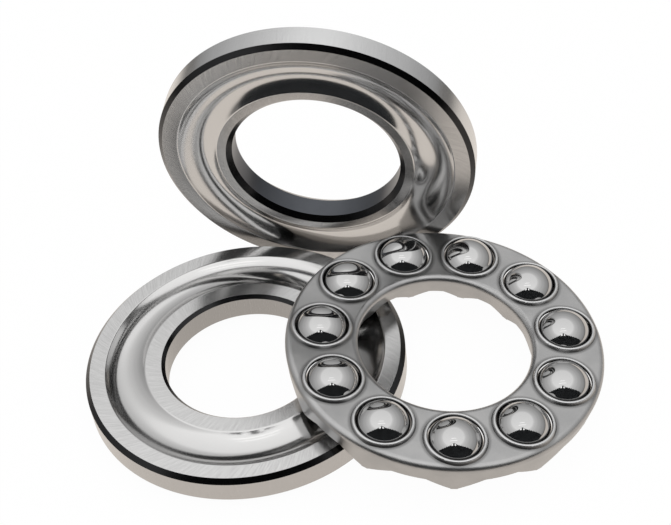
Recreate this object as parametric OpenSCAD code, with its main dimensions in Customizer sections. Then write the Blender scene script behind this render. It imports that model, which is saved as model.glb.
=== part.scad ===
// Single-direction thrust ball bearing, laid out in its separate pieces: the shaft washer lies flat
// with its raceway up, the cage with its balls leans on it, and the housing washer stands behind.
// Millimetres. +Z is up. The origin is on the shaft washer's axis, at the face it lies on.

/* [Washers] */
// Outside diameter of both washers
outside_d = 60; // [56:0.5:66]
// Bore of the shaft washer, which seats on the shaft
shaft_bore_d = 30; // [26:0.5:32]
// Bore of the housing washer, which clears the shaft
housing_bore_d = 32; // [28:0.5:34]
// Height of the stacked bearing
stack_h = 21; // [20:0.1:24]
// Chamfer at the rim of each raceway face
rim_chamfer = 0.85; // [0.3:0.05:1.2]
// Chamfer at the bore of the shaft washer's raceway face
shaft_bore_chamfer = 0.65; // [0.3:0.05:1.2]
// Chamfer at the bore of the housing washer's raceway face
housing_bore_chamfer = 1; // [0.3:0.05:1.2]
// Chamfer at the bore and the rim of each washer's back face
back_chamfer = 1.9; // [0.6:0.1:2.2]

/* [Raceways and balls] */
// Number of balls
ball_count = 11; // [8:1:12]
// Ball diameter
ball_d = 10.319; // [9.5:0.001:10.5]
// Diameter of the circle that the ball centres lie on
pitch_d = 45; // [44:0.1:46]
// How much larger the radius of the raceway groove is than the ball's
groove_ease = 0.41; // [0.1:0.01:0.6]
// Depth of the raceway groove below the washer's face
groove_depth = 1.43; // [1:0.01:1.8]

/* [Cage] */
// Gap between the balls and the cage's outer skirt
outer_ball_gap = 0.23; // [0.1:0.01:0.8]
// Gap between the balls and the cage's inner skirt
inner_ball_gap = 0.43; // [0.1:0.01:0.8]
// Thickness of the pressed sheet
sheet = 0.9; // [0.6:0.05:1]
// Outer radius of the two bends
bend_r = 1.15; // [1.05:0.05:1.4]
// Depth of both skirts below the top of the web, between the claws
skirt_depth = 4; // [3:0.1:5]
// How far the outer skirt leans in, degrees
outer_skirt_lean = 9.7; // [6:0.1:12]
// How far the inner skirt leans out, degrees
inner_skirt_lean = 13; // [6:0.1:16]
// Depth of the outer claws below the top of the web
outer_claw_depth = 6.7; // [5.6:0.1:7]
// Half width of an outer claw where it leaves the skirt
outer_claw_half_w = 4.9; // [4:0.1:6]
// Half width of an outer claw's tip
outer_claw_tip_half_w = 0.6; // [0.4:0.05:1.2]
// Depth of the inner claws below the top of the web
inner_claw_depth = 5.4; // [4.6:0.1:6]
// Half width of an inner claw where it leaves the skirt
inner_claw_half_w = 3.4; // [2.5:0.1:4]
// Half width of an inner claw's tip
inner_claw_tip_half_w = 0.6; // [0.4:0.05:1.2]

/* [Ball pockets] */
// Gap between a ball and its pocket, level with the top of the web
lip_ball_gap = 0.147; // [0.05:0.001:0.3]
// Width of the raised lip
lip_w = 0.6; // [0.4:0.05:0.8]
// Height of the raised lip above the web
lip_h = 0.6; // [0.4:0.05:0.8]
// Height of the sloping foot round the lip
lip_foot_h = 0.4; // [0.2:0.05:0.5]
// How much wider the pocket's mouth is under the web than at the lip
pocket_flare = 0.6; // [0.4:0.05:0.8]
// How far the ball centres lie below the top of the web
ball_seat = 2.1; // [1.9:0.05:2.6]

/* [Layout] */
// How far the cage's centre lies beyond the shaft washer's rim
cage_beyond = 7.4; // [6:0.1:12]
// Where the cage's centre is over the floor, from front to back
cage_y = -3.95; // [-6:0.05:2]
// The direction that the cage leans down in, degrees
cage_lean_dir = -8; // [-30:1:30]
// How far the cage is turned about its own axis, degrees
cage_turn = 9.65; // [0:0.05:32]
// How far the housing washer's centre lies inside the shaft washer's rim, from side to side
housing_within = 14.5; // [5:0.1:25]
// How far the housing washer leans forward, degrees
housing_lean = 7.4; // [4:0.1:12]
// How far the housing washer is turned about the vertical, degrees
housing_turn = -8.5; // [-20:0.5:5]
// Least gap that is left between the pieces where they lie
rest_gap = 0.12; // [0.05:0.01:0.4]

/* [Hidden] */
$fn = 96;
steel = [0.72, 0.71, 0.70];
pressed_steel = [0.62, 0.62, 0.63];
chrome = [0.88, 0.88, 0.89];
over = 1;
claw_tip_edge = 0.15;
foot_slope = 0.58;
outside_r = outside_d / 2;
cage_x = outside_r + cage_beyond;
housing_x = outside_r - housing_within;
pitch_r = pitch_d / 2;
ball_r = ball_d / 2;
lip_r = sqrt(ball_r ^ 2 - ball_seat ^ 2) + lip_ball_gap;
groove_r = ball_r + groove_ease;
groove_half_w = sqrt(groove_r ^ 2 - (groove_r - groove_depth) ^ 2);
washer_h = (stack_h - ball_d) / 2 + groove_depth;
groove_z = washer_h - groove_depth + groove_r;
ball_step = 360 / ball_count;
bend_x_out = pitch_r + ball_r + outer_ball_gap - (bend_r - sheet) / cos(outer_skirt_lean)
    + (ball_seat - bend_r) * tan(outer_skirt_lean);
bend_x_in = pitch_r - ball_r - inner_ball_gap + (bend_r - sheet) / cos(inner_skirt_lean)
    - (ball_seat - bend_r) * tan(inner_skirt_lean);

function ball_name(k) = str("ball_", k < 9 ? "0" : "", k + 1);
function ball_angle(k) = cage_turn + k * ball_step;
function on_circle(r, a, z) = [r * cos(a), r * sin(a), z];
function turned(p, a) = [p.x * cos(a) - p.y * sin(a), p.x * sin(a) + p.y * cos(a), p.z];
function leant(p, a) = [p.x * cos(a) + p.z * sin(a), p.y, p.z * cos(a) - p.x * sin(a)];

// Radius of the outside of the outer skirt, and of the inside of the inner one, at a depth below the web
function outer_skirt_r(depth) =
    bend_x_out + bend_r / cos(outer_skirt_lean) - (depth - bend_r) * tan(outer_skirt_lean);
function inner_skirt_r(depth) =
    bend_x_in - bend_r / cos(inner_skirt_lean) + (depth - bend_r) * tan(inner_skirt_lean);

// Distance from a point to a line between two points, and from a point to the upper part of a washer's
// section: the bore, the two lands with their chamfers, the rim and the groove
function line_gap(p, a, b) =
    let (t = max(0, min(1, (p - a) * (b - a) / ((b - a) * (b - a))))) norm(p - a - t * (b - a));
function path_gap(p, path) = min([for (i = [1 : len(path) - 1]) line_gap(p, path[i - 1], path[i])]);
function groove_gap(p) =
    let (d = p - [pitch_r, groove_z])
    abs(d.x) < -d.y * groove_half_w / (groove_r - groove_depth) ? groove_r - norm(d) : groove_r;
function washer_gap(p, bore_r, chamfer) =
    min(path_gap(p, [[bore_r, 0], [bore_r, washer_h - chamfer], [bore_r + chamfer, washer_h],
                     [pitch_r - groove_half_w, washer_h]]),
        path_gap(p, [[pitch_r + groove_half_w, washer_h], [outside_r - rim_chamfer, washer_h],
                     [outside_r, washer_h - rim_chamfer], [outside_r, 0]]),
        groove_gap(p));

// The cage's place: its lowest claw stands on the floor, and it leans just far enough that its balls and
// claws clear the shaft washer
outer_tip_r = outer_skirt_r(outer_claw_depth);
inner_tip_r = inner_skirt_r(inner_claw_depth);
tip_turn = asin(outer_claw_tip_half_w / outer_tip_r);
function cage_rise(lean) =
    outer_claw_depth * cos(lean) + outer_tip_r * sin(lean)
    * max([for (k = [0 : ball_count - 1], a = [-tip_turn, tip_turn]) cos(ball_angle(k) + a - cage_lean_dir)]);
function cage_point(p, lean) =
    [cage_x, cage_y, cage_rise(lean)] + turned(leant(turned(p, -cage_lean_dir), lean), cage_lean_dir);
function shaft_washer_gap(p) = washer_gap([norm([p.x, p.y]), p.z], shaft_bore_d / 2, shaft_bore_chamfer);
function above_shaft_washer(p) = p.z > washer_h - groove_depth || norm([p.x, p.y]) > outside_r;
function clears_shaft_washer(p, r) = above_shaft_washer(p) && shaft_washer_gap(p) - r >= rest_gap;
function ball_centre(k) = on_circle(pitch_r, ball_angle(k), -ball_seat);
function outer_tip(k) = on_circle(outer_tip_r, ball_angle(k), -outer_claw_depth);
function inner_tip(k) = on_circle(inner_tip_r, ball_angle(k), -inner_claw_depth);
function lean_clears(lean) =
    len([for (k = [0 : ball_count - 1])
        if (!clears_shaft_washer(cage_point(ball_centre(k), lean), ball_r)
            || !clears_shaft_washer(cage_point(outer_tip(k), lean), 0)
            || !clears_shaft_washer(cage_point(inner_tip(k), lean), 0)) k]) == 0;
function least_lean(lean) = lean_clears(lean) ? lean : least_lean(lean + lean_step);
lean_step = 0.05;
cage_lean = least_lean(4);
cage_z = cage_rise(cage_lean);

// The housing washer's place: it stands on its front rim, just behind the cage's outer bend
housing_z = outside_r * cos(housing_lean) - rim_chamfer * sin(housing_lean);
bend_steps = 120;
bend_ring = [for (i = [0 : bend_steps - 1])
    cage_point(on_circle(bend_x_out, i * 360 / bend_steps, -bend_r), cage_lean)];
function in_housing_washer(p, y) =
    let (q = turned(p - [housing_x, y, housing_z], -housing_turn))
    [q.x, q.y * cos(90 + housing_lean) + q.z * sin(90 + housing_lean),
     q.z * cos(90 + housing_lean) - q.y * sin(90 + housing_lean) + washer_h];
function clears_housing_washer(p, y) =
    let (q = in_housing_washer(p, y))
    q.z - washer_h > 0 && washer_gap([norm([q.x, q.y]), q.z], housing_bore_d / 2, housing_bore_chamfer)
    >= bend_r + rest_gap || norm([q.x, q.y]) > outside_r + bend_r + rest_gap;
function nearest_y(y) =
    len([for (p = bend_ring) if (!clears_housing_washer(p, y)) 1]) == 0 ? y : nearest_y(y + place_step);
place_step = 0.05;
housing_y = nearest_y(cage_y + pitch_r);

// Half section of a washer, its back face at 0 and its raceway face up
module washer_section(bore_r, chamfer) {
    difference() {
        translate([bore_r, 0]) square([outside_r - bore_r, washer_h]);
        translate([pitch_r, groove_z]) circle(groove_r);
        chamfer_cut([bore_r, washer_h], chamfer, 1, 1);
        chamfer_cut([outside_r, washer_h], rim_chamfer, -1, 1);
        chamfer_cut([bore_r, 0], back_chamfer, 1, -1);
        chamfer_cut([outside_r, 0], back_chamfer, -1, -1);
    }
}

// What a chamfer takes off a corner; side is 1 at the bore and -1 at the rim, up is 1 at the top
module chamfer_cut(corner, chamfer, side, up) {
    reach = chamfer + over;
    translate(corner)
        polygon([[-side * over, -up * reach], [-side * over, up * over], [side * reach, up * over]]);
}

module shaft_washer() {
    color(steel) rotate_extrude() washer_section(shaft_bore_d / 2, shaft_bore_chamfer);
}

module housing_washer() {
    color(steel) translate([housing_x, housing_y, housing_z]) rotate([0, 0, housing_turn])
        rotate([90 + housing_lean, 0, 0]) translate([0, 0, -washer_h])
            rotate_extrude() washer_section(housing_bore_d / 2, housing_bore_chamfer);
}

// Moves what is drawn in the cage's own frame, with the top of its web at 0, to where the cage lies
module at_cage() {
    translate([cage_x, cage_y, cage_z]) rotate([0, 0, cage_lean_dir]) rotate([0, cage_lean, 0])
        rotate([0, 0, -cage_lean_dir]) children();
}

// Half section of one bend and the skirt below it, drawn at its bend's centre and leaning to the left
module skirt_section(lean, depth) {
    length = (depth - bend_r) / cos(lean) + over;
    intersection() {
        union() {
            difference() {
                circle(bend_r);
                circle(bend_r - sheet);
                rotate(-lean) translate([-bend_r - over, -bend_r - over])
                    square([2 * (bend_r + over), bend_r + over]);
                translate([-bend_r - over, -bend_r - over]) square([bend_r + over, 2 * (bend_r + over)]);
            }
            rotate(-lean) translate([bend_r - sheet, -length]) square([sheet, length]);
        }
        translate([-length, bend_r - depth]) square([2 * length, depth + over]);
    }
}

// Half section of the pressed channel, its skirts as deep as their claws
module channel_section() {
    translate([bend_x_in, -sheet]) square([bend_x_out - bend_x_in, sheet]);
    translate([bend_x_out, -bend_r]) skirt_section(outer_skirt_lean, outer_claw_depth);
    translate([bend_x_in, -bend_r]) mirror([1, 0]) skirt_section(inner_skirt_lean, inner_claw_depth);
}

// What the gap between two claws takes out of a skirt; the claws' tips are at tip_r, and no part of the
// skirt lies within near_r
module claw_gap(tip_r, near_r, half_w, tip_half_w, depth) {
    half_pitch = tip_r * sin(ball_step / 2);
    root = half_pitch - half_w;
    tip = half_pitch - tip_half_w;
    start = (tip / tan(ball_step / 2) + sqrt(near_r ^ 2 - tip ^ 2)) / 2;
    edge = claw_tip_edge - depth;
    translate([start, 0, 0]) rotate([90, 0, 90]) linear_extrude(tip_r - start + 2 * over)
        polygon([[-root, -skirt_depth], [-tip, edge], [-tip, -depth - over],
                 [tip, -depth - over], [tip, edge], [root, -skirt_depth]]);
}

// Half section of the raised lip round a pocket, with its sloping foot
module lip_section() {
    buried = -sheet / 2;
    foot_r = lip_r + lip_w + (lip_foot_h - buried) * foot_slope;
    translate([lip_r, buried]) square([lip_w, lip_h - lip_w / 2 - buried]);
    translate([lip_r + lip_w / 2, lip_h - lip_w / 2]) circle(lip_w / 2);
    polygon([[lip_r + lip_w / 2, buried], [foot_r, buried], [lip_r + lip_w, lip_foot_h],
             [lip_r + lip_w / 2, lip_foot_h]]);
}

// What a pocket takes out of the web, flared below
module pocket_cut() {
    mouth_r = lip_r + pocket_flare * (1 + over / sheet);
    rotate_extrude() polygon([[0, -sheet - over], [mouth_r, -sheet - over], [lip_r, 0],
                              [lip_r, lip_h + over], [0, lip_h + over]]);
}

module at_pockets() {
    for (k = [0 : ball_count - 1]) rotate([0, 0, ball_angle(k)]) translate([pitch_r, 0, 0]) children();
}

module at_gaps() {
    for (k = [0 : ball_count - 1]) rotate([0, 0, ball_angle(k + 0.5)]) children();
}

module cage() {
    color(pressed_steel) at_cage() difference() {
        union() {
            rotate([0, 0, ball_angle(0.5)]) rotate_extrude() channel_section();
            at_pockets() rotate_extrude() lip_section();
        }
        at_gaps() claw_gap(outer_tip_r, outer_tip_r - sheet / cos(outer_skirt_lean), outer_claw_half_w,
                           outer_claw_tip_half_w, outer_claw_depth);
        at_gaps() claw_gap(inner_tip_r, inner_skirt_r(skirt_depth), inner_claw_half_w,
                           inner_claw_tip_half_w, inner_claw_depth);
        at_pockets() pocket_cut();
    }
}

module ball(k) {
    color(chrome) at_cage() translate(ball_centre(k)) sphere(ball_r);
}

shaft_washer();
housing_washer();
cage();
for (k = [0 : ball_count - 1]) ball(k);
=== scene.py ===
# Thrust ball bearing laid out in its pieces on a white table, lit like a product photo in a light tent
import math

import bpy
from mathutils import Matrix, Vector


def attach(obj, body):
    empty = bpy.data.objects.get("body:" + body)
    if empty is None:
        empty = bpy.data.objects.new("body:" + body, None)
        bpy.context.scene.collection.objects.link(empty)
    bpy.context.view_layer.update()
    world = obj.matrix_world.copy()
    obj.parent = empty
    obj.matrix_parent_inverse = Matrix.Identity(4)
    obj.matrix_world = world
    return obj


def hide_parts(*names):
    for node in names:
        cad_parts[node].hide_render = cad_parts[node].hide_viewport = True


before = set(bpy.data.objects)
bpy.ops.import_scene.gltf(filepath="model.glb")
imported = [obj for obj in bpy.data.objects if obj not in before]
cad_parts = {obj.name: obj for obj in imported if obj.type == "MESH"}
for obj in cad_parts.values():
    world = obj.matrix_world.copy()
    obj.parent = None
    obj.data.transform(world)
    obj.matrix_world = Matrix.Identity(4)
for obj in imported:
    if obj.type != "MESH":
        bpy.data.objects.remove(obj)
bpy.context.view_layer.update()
MM = 0.001

# Sizes of the pieces, in millimetres
OUTSIDE_R = 30.0
SHAFT_BORE_R = 15.0
HOUSING_BORE_R = 16.0
WASHER_H = 6.7705
RIM_CHAMFER = 0.85
SHAFT_BORE_CHAMFER = 0.65
HOUSING_BORE_CHAMFER = 1.0
BACK_CHAMFER = 1.9
PITCH_R = 22.5
BALL_R = 5.1595
BALL_COUNT = 11
BALL_SEAT = 2.1
GROOVE_EASE = 0.41
GROOVE_R = BALL_R + GROOVE_EASE
GROOVE_DEPTH = 1.43
GROOVE_EDGE_R = 0.5
LIP_R = 4.86
LIP_W = 0.6

# Where the pieces lie, in millimetres and degrees
CAGE_AT = Vector((37.4, -3.95, 10.7149))
CAGE_LEAN_DIR = -8.0
CAGE_LEAN = 8.65
CAGE_TURN = 9.65
HOUSING_FACE = Vector((15.5, 25.9, 29.6407))
HOUSING_TURN = -8.5
HOUSING_LEAN = 7.4

# Fineness of the meshes
RING_STEPS = 256
GROOVE_STEPS = 32
GROOVE_EDGE_STEPS = 6
BALL_SEGMENTS = 96
BALL_RINGS = 48


def turn(deg, axis):
    return Matrix.Rotation(math.radians(deg), 4, axis)


def place(v):
    return Matrix.Translation(v * MM)


CAGE_PLACE = (place(CAGE_AT) @ turn(CAGE_LEAN_DIR, "Z") @ turn(CAGE_LEAN, "Y")
              @ turn(-CAGE_LEAN_DIR, "Z"))
HOUSING_PLACE = (place(HOUSING_FACE) @ turn(HOUSING_TURN, "Z") @ turn(90 + HOUSING_LEAN, "X")
                 @ place(Vector((0, 0, -WASHER_H))))


# Node graph helpers
class Graph:
    def __init__(self, name):
        self.material = bpy.data.materials.new(name)
        self.material.use_nodes = True
        self.tree = self.material.node_tree
        self.tree.nodes.clear()
        self.out = self.add("ShaderNodeOutputMaterial")

    def add(self, kind, **values):
        node = self.tree.nodes.new(kind)
        for key, value in values.items():
            setattr(node, key, value)
        return node

    def link(self, a, b):
        self.tree.links.new(a, b)

    def put(self, value, socket):
        if isinstance(value, bpy.types.NodeSocket):
            self.link(value, socket)
        else:
            socket.default_value = value

    def math(self, operation, a, b=0.0):
        node = self.add("ShaderNodeMath", operation=operation)
        self.put(a, node.inputs[0])
        self.put(b, node.inputs[1])
        return node.outputs[0]

    def hypot(self, a, b):
        squares = self.math("ADD", self.math("MULTIPLY", a, a), self.math("MULTIPLY", b, b))
        return self.math("SQRT", squares)

    def about(self, middle, spread, factor):
        """A value that a factor from 0 to 1 moves evenly about its middle."""
        return self.math("ADD", middle - spread / 2, self.math("MULTIPLY", factor, spread))

    def ramp(self, value, low, high, to_low=0.0, to_high=1.0):
        node = self.add("ShaderNodeMapRange", interpolation_type="SMOOTHSTEP")
        self.put(value, node.inputs["Value"])
        node.inputs["From Min"].default_value = low
        node.inputs["From Max"].default_value = high
        node.inputs["To Min"].default_value = to_low
        node.inputs["To Max"].default_value = to_high
        return node.outputs["Result"]

    def mix(self, factor, a, b):
        node = self.add("ShaderNodeMix", data_type="RGBA")
        self.put(factor, node.inputs[0])
        self.put(a, node.inputs[6])
        self.put(b, node.inputs[7])
        return node.outputs[2]

    def noise(self, vector, scale, detail=4.0, roughness=0.5):
        node = self.add("ShaderNodeTexNoise")
        self.link(vector, node.inputs["Vector"])
        node.inputs["Scale"].default_value = scale
        node.inputs["Detail"].default_value = detail
        node.inputs["Roughness"].default_value = roughness
        return node.outputs["Fac"]

    def coordinates(self):
        return self.add("ShaderNodeTexCoord").outputs["Object"]

    def split(self, vector):
        node = self.add("ShaderNodeSeparateXYZ")
        self.link(vector, node.inputs[0])
        return node.outputs

    def metal(self, colour, roughness, bump=None, bump_m=0.0):
        shader = self.add("ShaderNodeBsdfPrincipled")
        shader.inputs["Metallic"].default_value = 1.0
        self.put(colour, shader.inputs["Base Color"])
        self.put(roughness, shader.inputs["Roughness"])
        if bump is not None:
            node = self.add("ShaderNodeBump")
            node.inputs["Strength"].default_value = 1.0
            node.inputs["Distance"].default_value = bump_m
            self.link(bump, node.inputs["Height"])
            self.link(node.outputs["Normal"], shader.inputs["Normal"])
        self.link(shader.outputs["BSDF"], self.out.inputs["Surface"])


def grey(value, warm=0.0):
    return (value * (1 + warm), value, value * (1 - warm), 1.0)


# Grinding lines: how they slant, how far they are stretched, and how deep they are
GRAIN_PER_RADIAN = 0.25
GRAIN_PER_METRE = 6.0
GRAIN_STRETCH = 0.4
GRAIN_BUMP_M = 0.0000006
ROUGHNESS_SPREAD = 0.08


def ground_material(name, colour, roughness, warm=0.006, contrast=0.1):
    """Ground steel, with fine grinding lines across the ring."""
    g = Graph(name)
    x, y, z = g.split(g.coordinates())
    radius = g.hypot(x, y)
    angle = g.math("ARCTAN2", y, x)
    slant = g.math("ADD", g.math("MULTIPLY", angle, GRAIN_PER_RADIAN),
                   g.math("MULTIPLY", radius, GRAIN_PER_METRE))
    across = g.add("ShaderNodeCombineXYZ")
    g.link(slant, across.inputs[0])
    g.link(g.math("MULTIPLY", radius, GRAIN_STRETCH), across.inputs[1])
    g.link(g.math("MULTIPLY", z, GRAIN_STRETCH), across.inputs[2])
    lines = g.noise(across.outputs[0], scale=900.0, detail=3.0, roughness=0.65)
    dark = grey(colour * (1 - contrast), warm)
    light = grey(colour * (1 + contrast), warm)
    tint = g.mix(g.ramp(lines, low=0.32, high=0.68), dark, light)
    g.metal(tint, g.about(roughness, ROUGHNESS_SPREAD, lines), lines, GRAIN_BUMP_M)
    return g.material


def raceway_material(name, colour):
    """Polished raceway."""
    g = Graph(name)
    cloud = g.noise(g.coordinates(), scale=90.0, detail=3.0)
    tint = g.mix(cloud, grey(colour * 0.97, 0.008), grey(colour * 1.03, 0.008))
    g.metal(tint, g.about(middle=0.14, spread=0.06, factor=cloud))
    return g.material


def scale_material(name, colour, roughness):
    """Dark skin left by the hardening, on what isn't ground afterwards."""
    g = Graph(name)
    cloud = g.noise(g.coordinates(), scale=250.0)
    dark = tuple(c * 0.85 for c in colour) + (1.0,)
    light = tuple(c * 1.15 for c in colour) + (1.0,)
    g.metal(g.mix(cloud, dark, light), g.about(roughness, ROUGHNESS_SPREAD, cloud))
    return g.material


# Painted shade and painted highlight round the cage's lips, with distances in millimetres
LIP_INSIDE_SHADE = (0.02, 0.2)
FOOT_STARTS = (-0.1, 0.15)
FOOT_ENDS = (0.3, 0.9)
FOOT_SHADE = 0.6
WEB_TOP = (-0.5, -0.1)
LIP_CREST_HIGHLIGHT = (0.3, 0.5)
PRESSED_BUMP_M = 0.000006


def cage_material():
    """Pressed and tumbled sheet steel, satin grey and a little mottled, with painted shade inside and
    round the lips and a painted highlight on their crests.
    """
    g = Graph("pressed_steel")
    at = g.coordinates()
    fine = g.noise(at, scale=1500.0, detail=3.0, roughness=0.6)
    cloud = g.noise(at, scale=160.0, roughness=0.55)
    tint = g.mix(g.ramp(cloud, low=0.3, high=0.7), grey(0.375, 0.002), grey(0.44, 0.006))

    # How far a point lies from the axis of the nearest pocket, in the cage's own frame
    turned = g.add("ShaderNodeMapping", vector_type="TEXTURE")
    g.link(at, turned.inputs["Vector"])
    turned.inputs["Location"].default_value = CAGE_PLACE.to_translation()
    turned.inputs["Rotation"].default_value = CAGE_PLACE.to_euler()
    x, y, z = g.split(turned.outputs[0])
    radius = g.hypot(x, y)
    angle = g.math("SUBTRACT", g.math("ARCTAN2", y, x), math.radians(CAGE_TURN))
    fold = g.math("PINGPONG", angle, math.pi / BALL_COUNT)
    along = g.math("SUBTRACT", g.math("MULTIPLY", radius, g.math("COSINE", fold)), PITCH_R * MM)
    aside = g.math("MULTIPLY", radius, g.math("SINE", fold))
    reach = g.hypot(along, aside)

    def between(value, start, span, to_low=0.0, to_high=1.0):
        return g.ramp(value, (start + span[0]) * MM, (start + span[1]) * MM, to_low, to_high)

    # Painted highlight on the lip's crest, painted shade inside it and round its foot
    foot_r = LIP_R + LIP_W
    inside = between(reach, LIP_R, LIP_INSIDE_SHADE, 1.0, 0.0)
    outside = g.math("MULTIPLY", between(reach, foot_r, FOOT_STARTS),
                     between(reach, foot_r, FOOT_ENDS, 1.0, 0.0))
    painted_shade = g.math("MAXIMUM", inside, g.math("MULTIPLY", outside, FOOT_SHADE))
    ring = g.math("MULTIPLY", painted_shade, between(z, 0.0, WEB_TOP))
    # Lighter grey on the lips' crests: a painted highlight
    tint = g.mix(between(z, 0.0, LIP_CREST_HIGHLIGHT), tint, grey(0.6))
    # Dark grey over the ring mask: painted shade in the pockets and round the lips' feet
    tint = g.mix(ring, tint, grey(0.12))
    g.metal(tint, g.about(middle=0.34, spread=0.14, factor=cloud), fine, PRESSED_BUMP_M)
    return g.material


def ball_material():
    """Bearing balls, lapped to a mirror."""
    g = Graph("polished_steel")
    cloud = g.noise(g.coordinates(), scale=400.0, detail=3.0)
    tint = g.mix(cloud, grey(0.465, 0.006), grey(0.51, 0.004))
    g.metal(tint, g.about(middle=0.035, spread=0.03, factor=cloud))
    return g.material


# Share of its own light on the table; the rest is lit paper, which keeps the shadow
TABLE_GLOW = 0.97


def table_material():
    """Paper that is white to the camera; reflections show it warm near the pieces and dark far off."""
    g = Graph("white_table")
    path = g.add("ShaderNodeLightPath")
    seen = path.outputs["Is Camera Ray"]
    shown = g.math("MAXIMUM", seen, path.outputs["Is Glossy Ray"])
    paper = g.add("ShaderNodeBsdfDiffuse")
    g.put(g.mix(g.noise(g.coordinates(), scale=40.0), grey(0.94), grey(0.98)), paper.inputs["Color"])
    apart = g.add("ShaderNodeVectorMath", operation="LENGTH")
    g.link(g.coordinates(), apart.inputs[0])
    near, far = (0.94, 0.87, 0.80, 1.0), (0.2, 0.19, 0.18, 1.0)
    sheet = g.mix(g.ramp(apart.outputs["Value"], low=0.13, high=0.3), near, far)
    glow = g.add("ShaderNodeEmission")
    g.link(g.mix(seen, sheet, grey(1.0)), glow.inputs["Color"])
    glow.inputs["Strength"].default_value = 1.0
    both = g.add("ShaderNodeMixShader")
    g.link(g.math("MULTIPLY", shown, TABLE_GLOW), both.inputs[0])
    g.link(paper.outputs[0], both.inputs[1])
    g.link(glow.outputs[0], both.inputs[2])
    g.link(both.outputs[0], g.out.inputs["Surface"])
    return g.material


def cloth_material():
    """Dark cloth, for the cards at the front."""
    g = Graph("dark_cloth")
    cloth = g.add("ShaderNodeBsdfDiffuse")
    weave = g.noise(g.coordinates(), scale=6.0)
    g.put(g.mix(weave, grey(0.025, -0.06), grey(0.035, -0.06)), cloth.inputs["Color"])
    g.link(cloth.outputs[0], g.out.inputs["Surface"])
    return g.material


FLECK_STRENGTH = 2.0


def fleck_material():
    """Bright cards, a little uneven."""
    g = Graph("bright_fleck")
    glow = g.add("ShaderNodeEmission")
    g.put(g.mix(g.noise(g.coordinates(), scale=8.0), grey(0.94), grey(1.0)), glow.inputs["Color"])
    glow.inputs["Strength"].default_value = FLECK_STRENGTH
    g.link(glow.outputs[0], g.out.inputs["Surface"])
    return g.material


# Fine meshes that stand for the coarse ones
def add_mesh(name, verts, faces):
    mesh = bpy.data.meshes.new(name)
    mesh.from_pydata(verts, [], faces)
    obj = bpy.data.objects.new(name, mesh)
    bpy.context.scene.collection.objects.link(obj)
    return obj


def arc(centre, r, start, end, steps):
    angles = [math.radians(start + (end - start) * i / steps) for i in range(steps + 1)]
    return [(centre[0] + r * math.cos(a), centre[1] + r * math.sin(a)) for a in angles]


LAND, RACEWAY, CHAMFER, RIM, BORE = range(5)


def washer_profile(bore_r, chamfer):
    """Strips of a washer's half section, each with its finish; the groove's edges are rounded."""
    groove_z = WASHER_H - GROOVE_DEPTH + GROOVE_R
    reach = GROOVE_R + GROOVE_EDGE_R
    half = math.degrees(math.acos((reach - GROOVE_DEPTH) / reach))
    inner = PITCH_R - reach * math.sin(math.radians(half))
    outer = PITCH_R + reach * math.sin(math.radians(half))
    edge_z = WASHER_H - GROOVE_EDGE_R
    groove = (arc((inner, edge_z), GROOVE_EDGE_R, 90, 90 - half, GROOVE_EDGE_STEPS)[:-1]
              + arc((PITCH_R, groove_z), GROOVE_R, 270 - half, 270 + half, GROOVE_STEPS)[:-1]
              + arc((outer, edge_z), GROOVE_EDGE_R, 90 + half, 90, GROOVE_EDGE_STEPS))
    back = BACK_CHAMFER
    return [
        (CHAMFER, [(bore_r + back, 0), (bore_r, back)]),
        (BORE, [(bore_r, back), (bore_r, WASHER_H - chamfer)]),
        (CHAMFER, [(bore_r, WASHER_H - chamfer), (bore_r + chamfer, WASHER_H)]),
        (LAND, [(bore_r + chamfer, WASHER_H), (inner, WASHER_H)]),
        (RACEWAY, groove),
        (LAND, [(outer, WASHER_H), (OUTSIDE_R - RIM_CHAMFER, WASHER_H)]),
        (CHAMFER, [(OUTSIDE_R - RIM_CHAMFER, WASHER_H), (OUTSIDE_R, WASHER_H - RIM_CHAMFER)]),
        (RIM, [(OUTSIDE_R, WASHER_H - RIM_CHAMFER), (OUTSIDE_R, back)]),
        (CHAMFER, [(OUTSIDE_R, back), (OUTSIDE_R - back, 0)]),
        (LAND, [(OUTSIDE_R - back, 0), (bore_r + back, 0)]),
    ]


def lathe(name, strips):
    """A smooth closed ring from strips of a half section; the edges between the strips stay sharp."""
    points, finish, sharp = [], [], set()
    for slot, strip in strips:
        sharp.add(len(points))
        points += strip[:-1]
        finish += [slot] * (len(strip) - 1)
    n = len(points)
    verts = []
    for i in range(RING_STEPS):
        a = 2 * math.pi * i / RING_STEPS
        verts += [(r * math.cos(a) * MM, r * math.sin(a) * MM, z * MM) for r, z in points]
    faces = []
    for i in range(RING_STEPS):
        j = (i + 1) % RING_STEPS
        for k in range(n):
            m = (k + 1) % n
            faces.append((i * n + k, i * n + m, j * n + m, j * n + k))
    ring = add_mesh(name, verts, faces)
    mesh = ring.data
    mesh.polygons.foreach_set("use_smooth", [True] * len(faces))
    mesh.polygons.foreach_set("material_index", finish * RING_STEPS)
    for edge in mesh.edges:
        a, b = edge.vertices
        if a % n == b % n and a % n in sharp:
            edge.use_edge_sharp = True
    return ring


def stand_for(obj, node, world, materials):
    obj.matrix_world = world
    for material in materials:
        obj.data.materials.append(material)
    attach(obj, node)
    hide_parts(node)


cage_steel = cage_material()
ball_steel = ball_material()
black_scale = scale_material("hardening_scale", (0.035, 0.035, 0.036), 0.2)
blue_scale = scale_material("bore_scale", (0.085, 0.09, 0.10), 0.3)
shaft_land = ground_material("shaft_washer_land", 0.60, 0.22)
shaft_rim = ground_material("shaft_washer_rim", 0.48, 0.24, warm=0.01, contrast=0.025)
shaft_bore = ground_material("shaft_washer_bore", 0.36, 0.26, warm=0.01, contrast=0.025)
housing_land = ground_material("housing_washer_land", 0.46, 0.24, warm=0.012)
housing_rim = ground_material("housing_washer_rim", 0.60, 0.2, warm=0.0, contrast=0.025)
raceway = raceway_material("raceway", 0.58)

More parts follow.
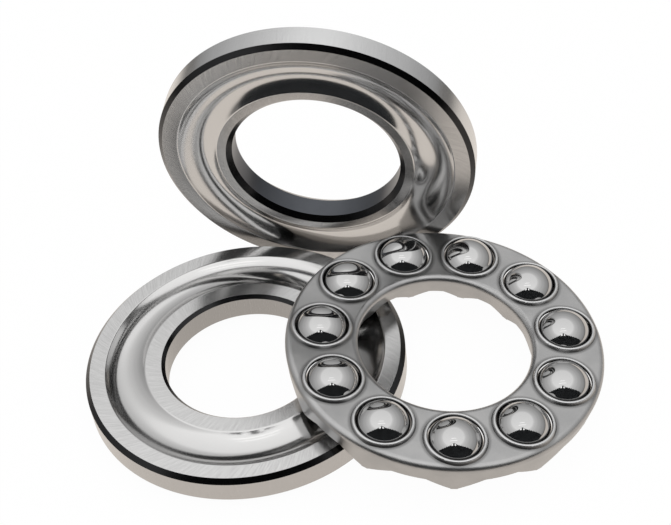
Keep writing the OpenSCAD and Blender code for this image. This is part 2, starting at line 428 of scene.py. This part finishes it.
# The washers, each with one material for land, raceway, chamfer, rim and bore
stand_for(lathe("shaft_washer_ring", washer_profile(SHAFT_BORE_R, SHAFT_BORE_CHAMFER)),
          "shaft_washer", Matrix.Identity(4),
          [shaft_land, raceway, black_scale, shaft_rim, shaft_bore])
stand_for(lathe("housing_washer_ring", washer_profile(HOUSING_BORE_R, HOUSING_BORE_CHAMFER)),
          "housing_washer", HOUSING_PLACE,
          [housing_land, raceway, black_scale, housing_rim, blue_scale])

for k in range(BALL_COUNT):
    node = f"ball_{k + 1:02d}"
    a = math.radians(CAGE_TURN + k * 360 / BALL_COUNT)
    bpy.ops.mesh.primitive_uv_sphere_add(segments=BALL_SEGMENTS, ring_count=BALL_RINGS, radius=BALL_R * MM)
    ball = bpy.context.object
    ball.name = f"{node}_mirror"
    ball.data.polygons.foreach_set("use_smooth", [True] * len(ball.data.polygons))
    centre = Vector((PITCH_R * math.cos(a), PITCH_R * math.sin(a), -BALL_SEAT))
    stand_for(ball, node, CAGE_PLACE @ place(centre), [ball_steel])

cad_finish = {"cage": cage_steel, "shaft_washer": shaft_land, "housing_washer": housing_land}
for name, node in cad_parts.items():
    node.data.materials.clear()
    node.data.materials.append(cad_finish.get(name, ball_steel))

# The table, with a faint shadow
TABLE_HALF = 1.5
TABLE_DROP = 0.00005
corners = [(-TABLE_HALF, -TABLE_HALF, 0), (TABLE_HALF, -TABLE_HALF, 0),
           (TABLE_HALF, TABLE_HALF, 0), (-TABLE_HALF, TABLE_HALF, 0)]
floor = add_mesh("floor", corners, [(0, 1, 2, 3)])
floor.location.z = -TABLE_DROP
floor.data.materials.append(table_material())

# The tent: bright overhead and grey at the sides, a little stronger towards the front
TENT_LEVELS = [(0.0, 0.34), (0.2, 0.46), (0.45, 0.6), (0.66, 0.74), (0.72, 0.84), (0.8, 1.06), (1.0, 1.06)]
FRONT_STRENGTH = 1.32
BACK_STRENGTH = 1.1
STRENGTH_REACH = 0.7
world = bpy.data.worlds.new("tent")
bpy.context.scene.world = world
world.use_nodes = True
tent = world.node_tree
sky = tent.nodes["Background"]
towards = tent.nodes.new("ShaderNodeSeparateXYZ")
tent.links.new(tent.nodes.new("ShaderNodeTexCoord").outputs["Generated"], towards.inputs[0])
levels = tent.nodes.new("ShaderNodeValToRGB")
levels.color_ramp.interpolation = "EASE"
while len(levels.color_ramp.elements) < len(TENT_LEVELS):
    levels.color_ramp.elements.new(0.5)
for element, (position, level) in zip(levels.color_ramp.elements, TENT_LEVELS):
    element.position = position
    element.color = grey(level)
strength = tent.nodes.new("ShaderNodeMapRange")
strength.inputs["From Min"].default_value = -STRENGTH_REACH
strength.inputs["From Max"].default_value = STRENGTH_REACH
strength.inputs["To Min"].default_value = FRONT_STRENGTH
strength.inputs["To Max"].default_value = BACK_STRENGTH
tent.links.new(towards.outputs[2], levels.inputs[0])
tent.links.new(towards.outputs[1], strength.inputs["Value"])
tent.links.new(levels.outputs["Color"], sky.inputs["Color"])
tent.links.new(strength.outputs["Result"], sky.inputs["Strength"])

# Camera, fitted to the photo
CAMERA_AT = Vector((37.18, -188.93, 207.35)) * MM
FORWARD = Vector((-0.0688, 0.7243, -0.6860)).normalized()
UPWARD = Vector((0.0722, 0.6895, 0.7207)).normalized()
FOCAL_PX = 1486.47
PHOTO_WIDTH_PX = 671
SENSOR_MM = 36.0
right = FORWARD.cross(UPWARD).normalized()
axes = Matrix((right, right.cross(FORWARD), -FORWARD)).transposed().to_4x4()
camera_data = bpy.data.cameras.new("camera")
camera_data.sensor_width = SENSOR_MM
camera_data.lens = SENSOR_MM * FOCAL_PX / PHOTO_WIDTH_PX
camera_data.clip_start = 0.01
camera = bpy.data.objects.new("camera", camera_data)
camera.matrix_world = Matrix.Translation(CAMERA_AT) @ axes
bpy.context.scene.collection.objects.link(camera)
bpy.context.scene.camera = camera


# Cards that only reflections show: the dark front of the room, and bright flecks above it
def card(name, corners, material):
    obj = add_mesh(name, corners, [tuple(range(len(corners)))])
    obj.data.materials.append(material)
    obj.visible_camera = False
    obj.visible_diffuse = False
    obj.visible_shadow = False


# The curtain's outline, in degrees to the side and degrees up, from its edge to its middle
BELL = [(70, 0), (65, 11), (59, 22), (51, 32), (41, 42), (29, 50), (19, 55), (9, 60), (0, 63)]
BELL_STEPS = 120
BELL_LOWEST = -2
FRONT_Y = -0.42


def on_front(azimuth, elevation):
    a = math.radians(azimuth)
    z = -FRONT_Y / math.cos(a) * math.tan(math.radians(elevation))
    return (CAMERA_AT.x - FRONT_Y * math.tan(a), FRONT_Y, z)


def bell_elevation(azimuth):
    for (a1, e1), (a0, e0) in zip(BELL, BELL[1:]):
        if a0 <= azimuth <= a1:
            return e0 + (e1 - e0) * (azimuth - a0) / (a1 - a0)


def ragged(azimuth):
    """Uneven edge of the curtain, in degrees."""
    return 1.6 * math.sin(0.9 * azimuth) + 1.2 * math.sin(2.3 * azimuth + 1.0)


curtain = []
for i in range(BELL_STEPS + 1):
    azimuth = BELL[0][0] * (1 - 2 * i / BELL_STEPS)
    elevation = bell_elevation(abs(azimuth)) + ragged(azimuth)
    curtain.append(on_front(azimuth, max(elevation, BELL_LOWEST)))
dark_cloth = cloth_material()
card("dark_curtain", curtain, dark_cloth)

# The dark front of the table, narrower towards the pieces
CLOTH_FAR_HALF_W = 1.0
CLOTH_NEAR_HALF_W = 0.13
CLOTH_NEAR_Y = -0.085
CLOTH_Z = 0.0002
cloth_outline = [(-CLOTH_FAR_HALF_W, FRONT_Y), (CLOTH_FAR_HALF_W, FRONT_Y),
                 (CLOTH_NEAR_HALF_W, CLOTH_NEAR_Y), (-CLOTH_NEAR_HALF_W, CLOTH_NEAR_Y)]
card("dark_table_front", [(CAMERA_AT.x + x, y, CLOTH_Z) for x, y in cloth_outline], dark_cloth)

# The flecks' corners, in degrees to the side and degrees up
FLECKS = [((-17, 51), (-6, 53), (-7, 60), (-14, 57)), ((4, 52), (12, 51), (10, 58), (3, 57)),
          ((-40, 66), (40, 66), (36, 70), (-36, 70)), ((-50, 76), (50, 76), (46, 80), (-46, 80))]
FLECK_FORWARD = Vector((0, 0.01, 0))
bright_fleck = fleck_material()
for i, fleck in enumerate(FLECKS):
    corners = [tuple(Vector(on_front(*corner)) + FLECK_FORWARD) for corner in fleck]
    card(f"bright_fleck_{i + 1}", corners, bright_fleck)

bpy.context.scene.view_settings.view_transform = "Standard"
